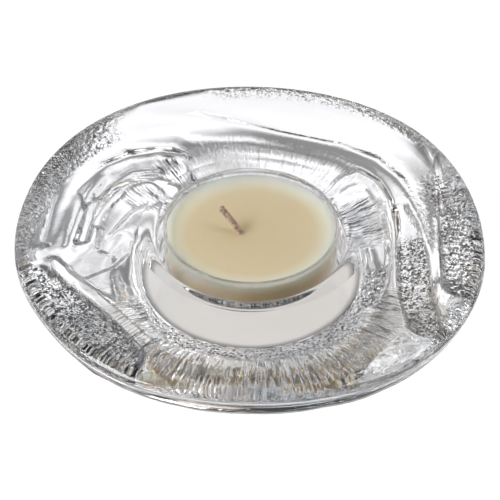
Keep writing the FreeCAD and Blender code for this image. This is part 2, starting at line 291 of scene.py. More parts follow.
def build_glass():
    t = np.arange(NT) * TAU / NT
    rim = ring(RIM_R, t) - 0.10
    top = ring(TOP_R, t)
    wa = np.array(WALL, float)
    deg = np.degrees(t)
    wall = np.interp(deg, np.append(wa[:, 0], 360.0), np.append(wa[:, 1], wa[0, 1])) - WALL_REF
    kern = np.exp(-(np.arange(-9, 10) / 4.0) ** 2)
    wall = np.convolve(np.concatenate([wall[-9:], wall, wall[:9]]), kern / kern.sum(), "valid")
    ctrl_r = np.zeros((len(SECTION), NT))
    ctrl_z = np.zeros((len(SECTION), NT))
    last = len(SECTION) - 1
    for k, (r, z) in enumerate(SECTION):
        w = (r - FOOT_R) / (RIM_R_NOM - FOOT_R)
        rr = r + (rim - RIM_R_NOM) * w + wall * FOLLOW[k]
        if k >= 16:
            f = (r - SECTION[last][0]) / (RIM_R_NOM - SECTION[last][0])
            rr = top + (rim - top) * f
        ctrl_r[k] = rr
        ctrl_z[k] = z
    us = np.linspace(0, len(SECTION) - 3, NS)
    W = spline_weights(len(SECTION), us)
    R = W @ ctrl_r
    Z = W @ ctrl_z
    T = np.broadcast_to(t, R.shape)
    X = R * np.cos(T)
    Y = R * np.sin(T)
    U = np.broadcast_to(us[:, None], R.shape)
    under = np.clip((U - 1.2) / 2.2, 0, 1) * np.clip((13.5 - U) / 3.0, 0, 1)
    H = relief(X, Y)
    # fine radial striations on the bowl wall
    rng = np.random.RandomState(7)
    stria = np.zeros_like(R)
    for _ in range(26):
        n = rng.randint(110, 330)
        stria += rng.uniform(0.4, 1.0) * np.cos(n * T + rng.uniform(0, TAU) + rng.uniform(-0.25, 0.25) * R)
    stria /= 26 ** 0.5 * 0.55
    ang = np.degrees(T) % 360.0

    def sector(a0, a1, soft):
        mid = (a0 + a1) / 2.0
        half = (a1 - a0) / 2.0
        d = np.abs((ang - mid + 180.0) % 360.0 - 180.0)
        return smooth01((half - d) / soft + 0.5)

    front = sector(208, 340, 14)
    back = sector(46, 112, 12)
    stria_mask = smooth01(bump_window(U, 3.4, 7.2, 1.0)) * np.clip(
        front + 0.40 * back + 0.06, 0, 1)

    def spot(cx, cy, rad, soft=2.0):
        return smooth01((rad - np.hypot(X - cx, Y - cy)) / soft + 0.5)

    tips = np.maximum.reduce([
        spot(24.5, 16, 5.0), spot(26, 9, 4.5), spot(-18.5, 30, 3.6), spot(-24.5, 21, 4.0),
        spot(37, -21, 4.0), spot(45.5, -9, 4.0), spot(-29, -30.5, 4.5), spot(-37, -21, 4.0) * 0.7])
    lower = np.clip((13.0 - U) / 1.5, 0, 1) * np.clip((U - 0.8) / 1.0, 0, 1)
    stria_mask = np.maximum(stria_mask, 0.9 * tips * lower)
    # soft hand-pressed unevenness
    lumps = value_noise(X, Y, 5.5, 3) * 0.11 + value_noise(X, Y, 2.2, 4) * 0.04
    sand = value_noise(X, Y, 0.9, 5)
    lowside = np.clip((15.5 - U) / 1.5, 0, 1)
    ring_zone = smooth01(bump_window(U, -0.3, 3.9, 0.8)) * (0.15 + 0.95 * sector(205, 372, 20))
    right_zone = (0.30 * smooth01(bump_window(R, 36.0, 52.5, 3.0))
                  + 0.45 * smooth01(bump_window(R, 43.0, 53.5, 2.0))) * sector(-38, 32, 10)
    left_zone = smooth01(bump_window(R, 47.0, 54.0, 1.5)) * sector(126, 190, 12) * 0.55
    arm_zone = smooth01(bump_window(R, 38.0, 50.0, 3.0)) * sector(192, 236, 8) * 0.7
    rim_back = smooth01(bump_window(R, 50.0, 54.5, 1.2)) * sector(40, 100, 10) * 0.40
    mild = smooth01(bump_window(R, 27.0, 50.0, 3.0)) * 0.06
    off_foot = smooth01((R - 24.4) / 0.7)
    inside_f = smooth01(arm_inside(X, Y, ARMS[3][2]) / 1.6 + 0.7) * 1.0
    inside_c = smooth01(arm_inside(X, Y, ARMS[2][2]) / 1.2 + 0.5) * smooth01((10 - Y) / 8.0) * 1.0
    inside_d = smooth01(arm_inside(X, Y, ARMS[1][2]) / 1.2 + 0.5) * smooth01((16 - Y) / 10.0)
    inside_b = smooth01(arm_inside(X, Y, ARMS[0][2]) / 1.2 + 0.5) * smooth01((0 - Y) / 6.0) * 1.0
    right_zone = right_zone * (0.45 + 0.55 * smooth01((np.hypot(X - 46, Y - 16) - 16) / -4.0))
    sand_mask = np.maximum.reduce([ring_zone, right_zone, left_zone, arm_zone, rim_back, mild, inside_f,
                                   inside_c, inside_d, inside_b]) * lowside * off_foot
    Z = Z - (H + lumps) * under - 0.06 * stria * stria_mask - 0.07 * sand * sand_mask
    seam = (np.exp(-((ang - 269.0) / 0.28) ** 2) + np.exp(-((ang - 269.9) / 0.28) ** 2)) \
        * smooth01(bump_window(U, 13.6, 17.2, 0.5))
    X = X - 0.16 * seam * np.cos(T)
    Y = Y - 0.16 * seam * np.sin(T)
    SURFACE["X"], SURFACE["Y"], SURFACE["Z"] = X, Y, Z
    rows = [np.stack([X[i], Y[i], Z[i]], 1) for i in range(NS)]
    # top annulus
    lipx = LIP_R * np.cos(t) + LIP_SHIFT_X
    lipy = LIP_R * np.sin(t)
    edge = rows[-1]
    for f in (0.25, 0.5, 0.75):
        rows.append(np.stack([edge[:, 0] * (1 - f) + lipx * f, edge[:, 1] * (1 - f) + lipy * f,
                              np.full(NT, GLASS_H)], 1))
    lip_row = len(rows)
    ctrl = np.array(RECESS)
    ui = np.linspace(0, len(RECESS) - 3, 48)
    Wi = spline_weights(len(RECESS), ui)
    ri = Wi @ ctrl[:, 0]
    di = Wi @ ctrl[:, 1]
    sh = Wi @ np.clip((ctrl[:, 0] - BORE_R) / (LIP_R - BORE_R), 0, None)
    for r, d, s in zip(ri, di, sh):
        rows.append(np.stack([r * np.cos(t) + LIP_SHIFT_X * s, r * np.sin(t), np.full(NT, GLASS_H - d)], 1))
    ob = grid_mesh("holder_glass", rows, sharp_rows=(0, NS - 1, lip_row, len(rows) - 1))
    nv = len(ob.data.vertices)
    m = np.zeros(nv)
    m[:NS * NT] = (stria_mask).ravel()
    set_float(ob.data, "stria", m)
    m = np.zeros(nv)
    m[:NS * NT] = (sand_mask).ravel()
    set_float(ob.data, "sand", m)
    # painted crease shade: dark lines where the arms step down into the flange, kept as an attribute that darkens the
    # glass
    crease_shade = np.zeros_like(R)
    for (amp, flank, pts), level in zip(ARMS, CREASE_SHADE):
        d = arm_inside(X, Y, pts)
        if pts[-1][0] < -15 and pts[-1][1] > 0:
            level = level * (0.30 + 0.90 * smooth01((9.0 - np.hypot(X - pts[-1][0], Y - pts[-1][1])) / 5.0))
        crease_shade = np.maximum(crease_shade, level * np.exp(-((d + 0.25) / 0.34) ** 2)
                            * smooth01(value_noise(X, Y, 3.1, 17) * 1.2 + 0.75))
    m = np.zeros(nv)
    m[:NS * NT] = (crease_shade * np.clip((14.0 - U) / 1.5, 0, 1) * np.clip((U - 2.0) / 1.0, 0, 1)).ravel()
    set_float(ob.data, "crease_shade", m)
    return ob


# ------------------------------------------------------------------ materials
def new_material(name):
    mat = bpy.data.materials.new(name)
    mat.use_nodes = True
    nt = mat.node_tree
    for n in list(nt.nodes):
        nt.nodes.remove(n)
    out = nt.nodes.new("ShaderNodeOutputMaterial")
    bsdf = nt.nodes.new("ShaderNodeBsdfPrincipled")
    nt.links.new(bsdf.outputs[0], out.inputs[0])
    return mat, nt, bsdf


def node(nt, kind, **props):
    n = nt.nodes.new(kind)
    for k, v in props.items():
        setattr(n, k, v)
    return n


def noise(nt, coord, scale, detail=2.0, rough=0.5):
    n = node(nt, "ShaderNodeTexNoise")
    n.inputs["Scale"].default_value = scale
    n.inputs["Detail"].default_value = detail
    n.inputs["Roughness"].default_value = rough
    nt.links.new(coord, n.inputs["Vector"])
    return n


def math_node(nt, op, a, b=None, clamp=False):
    n = node(nt, "ShaderNodeMath", operation=op, use_clamp=clamp)
    for i, v in enumerate((a, b)):
        if v is None:
            continue
        if isinstance(v, (int, float)):
            n.inputs[i].default_value = v
        else:
            nt.links.new(v, n.inputs[i])
    return n.outputs[0]


def glass_material():
    mat, nt, b = new_material("cast_clear_glass")
    b.inputs["IOR"].default_value = 1.51
    b.inputs["Specular IOR Level"].default_value = 0.5
    tc = node(nt, "ShaderNodeTexCoord")
    sand = node(nt, "ShaderNodeAttribute", attribute_name="sand")
    stria = node(nt, "ShaderNodeAttribute", attribute_name="stria")
    crease_shade = node(nt, "ShaderNodeAttribute", attribute_name="crease_shade")
    grain = noise(nt, tc.outputs["Object"], 1100.0, 1.0, 0.5)
    pits = node(nt, "ShaderNodeTexVoronoi", feature="F1")
    pits.inputs["Scale"].default_value = 820.0
    nt.links.new(tc.outputs["Object"], pits.inputs["Vector"])
    h = math_node(nt, "ADD", math_node(nt, "MULTIPLY", grain.outputs["Fac"], 0.6),
                  math_node(nt, "MULTIPLY", pits.outputs["Distance"], 0.5))
    h = math_node(nt, "MULTIPLY", h, sand.outputs["Fac"])
    # fine press striations, running outwards from the axis
    flat = node(nt, "ShaderNodeVectorMath", operation="MULTIPLY")
    nt.links.new(tc.outputs["Object"], flat.inputs[0])
    flat.inputs[1].default_value = (1.0, 1.0, 0.0)
    unit = node(nt, "ShaderNodeVectorMath", operation="NORMALIZE")
    nt.links.new(flat.outputs[0], unit.inputs[0])
    dist = node(nt, "ShaderNodeVectorMath", operation="LENGTH")
    nt.links.new(flat.outputs[0], dist.inputs[0])
    spread = node(nt, "ShaderNodeVectorMath", operation="SCALE")
    nt.links.new(unit.outputs[0], spread.inputs[0])
    spread.inputs["Scale"].default_value = 50.0
    parts = node(nt, "ShaderNodeSeparateXYZ")
    nt.links.new(spread.outputs[0], parts.inputs[0])
    comb = node(nt, "ShaderNodeCombineXYZ")
    nt.links.new(parts.outputs[0], comb.inputs[0])
    nt.links.new(parts.outputs[1], comb.inputs[1])
    nt.links.new(math_node(nt, "MULTIPLY", dist.outputs["Value"], 230.0), comb.inputs[2])
    lines = noise(nt, comb.outputs[0], 1.0, 2.0, 0.6)
    h = math_node(nt, "ADD", h, math_node(nt, "MULTIPLY", math_node(nt, "MULTIPLY", lines.outputs["Fac"], 0.75),
                                          stria.outputs["Fac"]))
    # very faint press waviness on the fire-polished parts
    wave = noise(nt, tc.outputs["Object"], 60.0, 1.0, 0.4)
    h = math_node(nt, "ADD", h, math_node(nt, "MULTIPLY", wave.outputs["Fac"], 0.04))
    bump = node(nt, "ShaderNodeBump")
    bump.inputs["Strength"].default_value = 1.0
    bump.inputs["Distance"].default_value = 0.00060
    nt.links.new(h, bump.inputs["Height"])
    nt.links.new(bump.outputs[0], b.inputs["Normal"])
    rough = math_node(nt, "MULTIPLY", sand.outputs["Fac"], 0.025)
    nt.links.new(rough, b.inputs["Roughness"])

    def band(value, lo, hi):
        mr = node(nt, "ShaderNodeMapRange", interpolation_type="SMOOTHSTEP")
        mr.inputs["From Min"].default_value = lo
        mr.inputs["From Max"].default_value = hi
        nt.links.new(value, mr.inputs["Value"])
        return mr.outputs["Result"]

    # painted shade in the sanded zones: dark dots and fine worm-like lines between the grains, where the glass turns
    # opaque and near-black
    dots = node(nt, "ShaderNodeTexVoronoi", feature="F1")
    dots.inputs["Scale"].default_value = 1180.0
    drawn = node(nt, "ShaderNodeVectorMath", operation="MULTIPLY")
    nt.links.new(tc.outputs["Object"], drawn.inputs[0])
    drawn.inputs[1].default_value = (1.0, 1.0, 0.4)
    nt.links.new(drawn.outputs[0], dots.inputs["Vector"])
    dot = band(dots.outputs["Distance"], 0.44, 0.34)
    pick = node(nt, "ShaderNodeSeparateColor")
    nt.links.new(dots.outputs["Color"], pick.inputs[0])
    dot = math_node(nt, "MULTIPLY", dot, band(pick.outputs[0], 0.30, 0.42))
    worm = noise(nt, tc.outputs["Object"], 760.0, 1.5, 0.55)
    worm_d = math_node(nt, "ABSOLUTE", math_node(nt, "SUBTRACT", worm.outputs["Fac"], 0.5))
    worm_l = band(worm_d, 0.040, 0.016)
    pit_shade = math_node(nt, "MAXIMUM", dot, math_node(nt, "MULTIPLY", worm_l, 0.85))
    pit_shade = math_node(nt, "MULTIPLY", pit_shade, band(sand.outputs["Fac"], 0.15, 0.95))
    # painted shade along the press striations: dark streaks
    streak_shade = band(lines.outputs["Fac"], 0.48, 0.39)
    streak_shade = math_node(nt, "MULTIPLY", streak_shade, band(stria.outputs["Fac"], 0.25, 1.1))
    shade = math_node(nt, "MAXIMUM", math_node(nt, "MULTIPLY", pit_shade, 1.0), math_node(nt, "MULTIPLY", streak_shade, 0.66))
    # the painted crease shade darkens the glass the same way
    shade = math_node(nt, "MAXIMUM", shade, crease_shade.outputs["Fac"])
    nt.links.new(math_node(nt, "SUBTRACT", 1.0, shade, True), b.inputs["Transmission Weight"])
    nt.links.new(math_node(nt, "MULTIPLY", math_node(nt, "SUBTRACT", 1.0, shade, True), 0.5),
                 b.inputs["Specular IOR Level"])
    # base colour: white where the glass is clear, near-black where the painted shade is
    tone = node(nt, "ShaderNodeValToRGB")
    tone.color_ramp.elements[0].position = 0.0
    tone.color_ramp.elements[0].color = (1.0, 1.0, 1.0, 1)
    tone.color_ramp.elements[1].position = 0.5
    tone.color_ramp.elements[1].color = (0.05, 0.05, 0.055, 1)
    nt.links.new(shade, tone.inputs[0])
    nt.links.new(tone.outputs[0], b.inputs["Base Color"])
    return mat


def cup_material():
    mat, nt, b = new_material("clear_cup_plastic")
    b.inputs["Base Color"].default_value = (0.99, 0.995, 0.99, 1)
    b.inputs["Transmission Weight"].default_value = 1.0
    b.inputs["IOR"].default_value = 1.49
    b.inputs["Alpha"].default_value = 0.6
    tc = node(nt, "ShaderNodeTexCoord")
    n1 = noise(nt, tc.outputs["Object"], 180.0, 2.0)
    r = math_node(nt, "MULTIPLY", n1.outputs["Fac"], 0.05)
    nt.links.new(r, b.inputs["Roughness"])
    return mat


def wax_material():
    mat, nt, b = new_material("candle_wax_cream")
    tc = node(nt, "ShaderNodeTexCoord")
    sep = node(nt, "ShaderNodeSeparateXYZ")
    nt.links.new(tc.outputs["Object"], sep.inputs[0])
    r2 = math_node(nt, "ADD", math_node(nt, "MULTIPLY", sep.outputs[0], sep.outputs[0]),
                   math_node(nt, "MULTIPLY", sep.outputs[1], sep.outputs[1]))
    rad = math_node(nt, "SQRT", r2)
    # the wax's own cream colour with a cloudy variation; the lighter, greener ring towards the cup wall is a painted
    # reflection of the meniscus
    cloud = noise(nt, tc.outputs["Object"], 90.0, 3.0)
    f = math_node(nt, "ADD", math_node(nt, "MULTIPLY", rad, 54.0),
                  math_node(nt, "MULTIPLY", cloud.outputs["Fac"], 0.10))
    ramp = node(nt, "ShaderNodeValToRGB")
    cr = ramp.color_ramp
    cr.elements[0].position = 0.10
    cr.elements[0].color = (0.70, 0.57, 0.35, 1)
    cr.elements[1].position = 1.0
    cr.elements[1].color = (0.80, 0.79, 0.66, 1)
    e = cr.elements.new(0.80)
    e.color = (0.72, 0.61, 0.40, 1)
    nt.links.new(f, ramp.inputs[0])
    # painted light: below the top, the wax side gets a brighter, warmer colour than the middle of the top, standing in
    # for light reaching it through the glass and the cup
    lit_side = node(nt, "ShaderNodeMapRange", interpolation_type="SMOOTHSTEP")
    lit_side.inputs["From Min"].default_value = 0.0236
    lit_side.inputs["From Max"].default_value = 0.0216
    nt.links.new(sep.outputs[2], lit_side.inputs["Value"])
    mix = node(nt, "ShaderNodeMix", data_type="RGBA")
    nt.links.new(lit_side.outputs["Result"], mix.inputs["Factor"])
    nt.links.new(ramp.outputs[0], mix.inputs[6])
    mix.inputs[7].default_value = (0.84, 0.72, 0.50, 1)
    nt.links.new(mix.outputs[2], b.inputs["Base Color"])
    b.inputs["Subsurface Weight"].default_value = 0.85
    b.inputs["Subsurface Radius"].default_value = (1.0, 0.85, 0.60)
    b.inputs["Subsurface Scale"].default_value = 0.0060
    b.inputs["Roughness"].default_value = 0.42
    b.inputs["IOR"].default_value = 1.44
    bumpn = noise(nt, tc.outputs["Object"], 420.0, 3.0, 0.55)
    bump = node(nt, "ShaderNodeBump")
    bump.inputs["Strength"].default_value = 0.35
    bump.inputs["Distance"].default_value = 0.00012
    nt.links.new(bumpn.outputs["Fac"], bump.inputs["Height"])
    nt.links.new(bump.outputs[0], b.inputs["Normal"])
    return mat


def wick_material():
    mat, nt, b = new_material("wick_cotton_braid")
    tc = node(nt, "ShaderNodeTexCoord")
    n1 = noise(nt, tc.outputs["Object"], 900.0, 3.0)
    ramp = node(nt, "ShaderNodeValToRGB")
    cr = ramp.color_ramp
    cr.elements[0].position = 0.35
    cr.elements[0].color = (0.36, 0.20, 0.14, 1)
    cr.elements[1].position = 0.72
    cr.elements[1].color = (0.86, 0.70, 0.58, 1)
    nt.links.new(n1.outputs["Fac"], ramp.inputs[0])
    nt.links.new(ramp.outputs[0], b.inputs["Base Color"])
    b.inputs["Roughness"].default_value = 0.75
    b.inputs["Sheen Weight"].default_value = 0.2
    bump = node(nt, "ShaderNodeBump")
    bump.inputs["Strength"].default_value = 0.6
    bump.inputs["Distance"].default_value = 0.0001
    nt.links.new(n1.outputs["Fac"], bump.inputs["Height"])
    nt.links.new(bump.outputs[0], b.inputs["Normal"])
    return mat


def steel_material():
    mat, nt, b = new_material("tinned_steel")
    b.inputs["Metallic"].default_value = 1.0
    tc = node(nt, "ShaderNodeTexCoord")
    n1 = noise(nt, tc.outputs["Object"], 700.0, 3.0)
    ramp = node(nt, "ShaderNodeValToRGB")
    ramp.color_ramp.elements[0].color = (0.55, 0.55, 0.54, 1)
    ramp.color_ramp.elements[1].color = (0.75, 0.75, 0.73, 1)
    nt.links.new(n1.outputs["Fac"], ramp.inputs[0])
    nt.links.new(ramp.outputs[0], b.inputs["Base Color"])
    nt.links.new(math_node(nt, "ADD", math_node(nt, "MULTIPLY", n1.outputs["Fac"], 0.2), 0.25),
                 b.inputs["Roughness"])
    return mat


# ------------------------------------------------------------------ tealight pieces (mm)
CUP_Z0 = 12.9
CUP_H = 13.2
CUP_Z1 = CUP_Z0 + CUP_H
CUP_R0 = 18.80
CUP_R1 = 19.25
CUP_WALL = 0.75
CUP_FLOOR = 0.80
WAX_Z = CUP_Z1 - 2.3


def cup_r(z):
    return CUP_R0 + (CUP_R1 - CUP_R0) * (z - CUP_Z0) / CUP_H


def revolve_rows(profile, n):
    t = np.arange(n) * TAU / n
    return [np.stack([r * np.cos(t), r * np.sin(t), np.full(n, z)], 1) for r, z in profile]


def arc(cx, cz, r, a0, a1, n):
    return [(cx + r * math.cos(math.radians(a)), cz + r * math.sin(math.radians(a)))
            for a in np.linspace(a0, a1, n)]


def build_cup():
    prof = [(2.0, CUP_Z0), (8.0, CUP_Z0), (14.0, CUP_Z0)]
    prof += arc(CUP_R0 - 1.6, CUP_Z0 + 1.6, 1.6, -90, 0, 10)
    for z in np.linspace(CUP_Z0 + 2.0, CUP_Z1 - 0.45, 22):
        prof.append((cup_r(z), z))
    prof += arc(CUP_R1 - 0.37, CUP_Z1 - 0.36, 0.36, 0, 180, 13)
    for z in np.linspace(CUP_Z1 - 0.45, CUP_Z0 + CUP_FLOOR + 1.3, 26):
        prof.append((cup_r(z) - CUP_WALL, z))
    prof += arc(CUP_R0 - CUP_WALL - 0.85, CUP_Z0 + CUP_FLOOR + 0.85, 0.85, 0, -90, 8)
    prof += [(12.0, CUP_Z0 + CUP_FLOOR), (6.0, CUP_Z0 + CUP_FLOOR), (2.0, CUP_Z0 + CUP_FLOOR)]
    return grid_mesh("tealight_cup_clear", revolve_rows(prof, 256))


WICK = (-2.0, -0.3)


def build_wax():
    n = 256
    gap = 0.03
    zb = CUP_Z0 + CUP_FLOOR + gap
    prof = [(1.5, zb), (6.0, zb), (12.0, zb)]
    prof += arc(CUP_R0 - CUP_WALL - 0.85 - gap, zb + 0.85, 0.85, -90, 0, 8)
    for z in np.linspace(zb + 1.2, WAX_Z + 0.85, 26):
        prof.append((cup_r(z) - CUP_WALL - gap, z))
    rt = cup_r(WAX_Z + 0.85) - CUP_WALL - gap
    rows = revolve_rows(prof, n)
    t = np.arange(n) * TAU / n
    for dr in (0.12, 0.3, 0.55, 0.9, 1.3, 1.8, 2.4, 3.1, 4.0, 5.0, 6.2, 7.5, 9.0, 10.5, 12.0, 13.2, 14.4,
               15.4, 16.3, 17.0):
        r = rt - dr
        x = r * np.cos(t)
        y = r * np.sin(t)
        z = WAX_Z + 0.85 * math.exp(-(dr / 0.95) ** 1.2) + np.zeros(n)
        z = z - 0.10 + value_noise(x, y, 6.0, 11) * 0.06
        dw = np.hypot(x - WICK[0], y - WICK[1])
        z = z + 0.28 * np.exp(-(dw / 1.5) ** 2) - 0.22 * np.exp(-(dw / 4.0) ** 2)
        rows.append(np.stack([x, y, z], 1))
    return grid_mesh("wax_fill", rows)


def build_wick():
    """Three-strand braided cord along the wick's line, closed tube with strand relief."""
    lean = np.array([-4.8, 2.7, 5.5])
    length = np.linalg.norm(lean)
    lean = lean / length
    base = np.array([WICK[0], WICK[1], CUP_Z0 + CUP_FLOOR + 0.05])
    corner = np.array([WICK[0], WICK[1], WAX_Z])
    tip = corner + lean * (length - 0.15)
    pts = []
    for f in np.linspace(0, 1, 40)[:-1]:
        pts.append(base + (corner - np.array([0, 0, 1.7]) - base) * f)
    a = corner - np.array([0, 0, 1.7])
    b = corner + lean * 1.7
    for f in np.linspace(0, 1, 24):
        pts.append((1 - f) ** 2 * a + 2 * f * (1 - f) * corner + f * f * b)
    for f in np.linspace(0, 1, 60)[1:]:
        pts.append(b + (tip - b) * f)
    pts = np.array(pts)
    seg = np.linalg.norm(np.diff(pts, axis=0), axis=1)
    s = np.concatenate([[0], np.cumsum(seg)])
    tang = np.gradient(pts, axis=0)
    tang /= np.linalg.norm(tang, axis=1)[:, None]
    ref = np.cross(tang, np.array([0.5, 0.87, 0.0]))
    ref /= np.linalg.norm(ref, axis=1)[:, None]
    bi = np.cross(tang, ref)
    n = 40
    t = np.arange(n) * TAU / n
    rows = []
    total = s[-1]
    for p, r1, r2, si in zip(pts, ref, bi, s):
        rad = 0.66 + 0.07 * np.abs(np.cos(1.5 * (t - si * 2.2))) - 0.05 * np.abs(np.cos(2.0 * (t + si * 2.6)))
        tail = total - si
        if tail < 0.35:
            rad = rad * math.sqrt(max(0.05, 1 - (1 - tail / 0.35) ** 2))
        rows.append(p + np.outer(np.cos(t) * rad, r1) + np.outer(np.sin(t) * rad, r2))
    return grid_mesh("wick_braid", rows)


# ------------------------------------------------------------------ build
glass = build_glass()
glass.data.materials.append(glass_material())
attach(glass, "holder")
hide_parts("glass_body")

cup = build_cup()
cup.data.materials.append(cup_material())
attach(cup, "tealight")
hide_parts("tealight_cup")

wax = build_wax()
wax.data.materials.append(wax_material())
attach(wax, "tealight")
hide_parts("wax")

wick = build_wick()
wick.data.materials.append(wick_material())
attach(wick, "tealight")
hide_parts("wick")

steel = steel_material()
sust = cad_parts["wick_sustainer"]
sust.data.materials.clear()
sust.data.materials.append(steel)

# ------------------------------------------------------------------ stage, light, camera
scene = bpy.context.scene


def stage_disc(name, radius, z):
    me = bpy.data.meshes.new(name)
    bm = bmesh.new()
    bmesh.ops.create_circle(bm, cap_ends=True, segments=96, radius=radius)
    bm.to_mesh(me)
    bm.free()
    ob = bpy.data.objects.new(name, me)
    ob.location = (0, 0, z)
    scene.collection.objects.link(ob)
    mat = bpy.data.materials.new(name)
    mat.use_nodes = True
    nt = mat.node_tree
    for n in list(nt.nodes):
        nt.nodes.remove(n)
    out = nt.nodes.new("ShaderNodeOutputMaterial")
    bs = nt.nodes.new("ShaderNodeBsdfPrincipled")
    bs.inputs["Base Color"].default_value = (0.05, 0.05, 0.05, 1)
    bs.inputs["Roughness"].default_value = 0.9
    bs.inputs["Specular IOR Level"].default_value = 0.0
    bs.inputs["Emission Strength"].default_value = 1.0
    nt.links.new(bs.outputs[0], out.inputs[0])
    me.materials.append(mat)
    return ob, nt, bs


# What the camera sees directly: an even white sweep.
sweep, nt_s, bs_s = stage_disc("studio_floor", 2.5, -0.0001)
bs_s.inputs["Emission Color"].default_value = (1, 1, 1, 1)
for flag in ("visible_diffuse", "visible_glossy", "visible_transmission", "visible_shadow",
             "visible_volume_scatter"):
    setattr(sweep, flag, False)

# The pale studio wall behind it, seen by the camera only, so low views have the same backdrop.
def stage_dome(name, radius, z):
    verts, faces = [], []
    rings, around = 12, 48
    for i in range(rings):
        el = math.pi / 2 * i / rings
        for j in range(around):
            a = TAU * j / around
            verts.append((radius * math.cos(el) * math.cos(a), radius * math.cos(el) * math.sin(a),
                          z + radius * math.sin(el)))
    top = len(verts)
    verts.append((0.0, 0.0, z + radius))
    for i in range(rings - 1):
        for j in range(around):
            k = (j + 1) % around
            faces.append((i * around + j, (i + 1) * around + j, (i + 1) * around + k, i * around + k))
    for j in range(around):
        faces.append(((rings - 1) * around + j, top, (rings - 1) * around + (j + 1) % around))
    me = bpy.data.meshes.new(name)
    me.from_pydata(verts, [], faces)
    me.update()
    ob = bpy.data.objects.new(name, me)
    scene.collection.objects.link(ob)
    me.materials.append(sweep.data.materials[0])
    return ob


wall = stage_dome("studio_wall", 2.5, -0.0002)
for flag in ("visible_diffuse", "visible_glossy", "visible_transmission", "visible_shadow",
             "visible_volume_scatter"):
    setattr(wall, flag, False)

# What lights the glass from below: the table under the object, with the pattern of light that
# the glass itself focuses onto it. Rays from the overhead light are refracted through the top,
# followed to the underside, refracted out and counted where they land.
HALF = 110.0
CELLS = 520


def refract(d, n, eta):
    """d towards the surface, n against d; returns direction and a mask of rays that pass."""
    c = -(d * n).sum(-1)
    k = 1 - eta * eta * (1 - c * c)
    ok = k > 0
    out = eta * d + (eta * c - np.sqrt(np.where(ok, k, 0)))[..., None] * n
    return out, ok


def polar_height(rows_r, rows_z, nr, r_lo, r_hi):
    """Height on a regular (angle, radius) table from rows of rings."""
    rr = np.linspace(r_lo, r_hi, nr)
    out = np.zeros((rows_r.shape[1], nr))
    for j in range(rows_r.shape[1]):
        out[j] = np.interp(rr, rows_r[:, j], rows_z[:, j])
    return rr, out


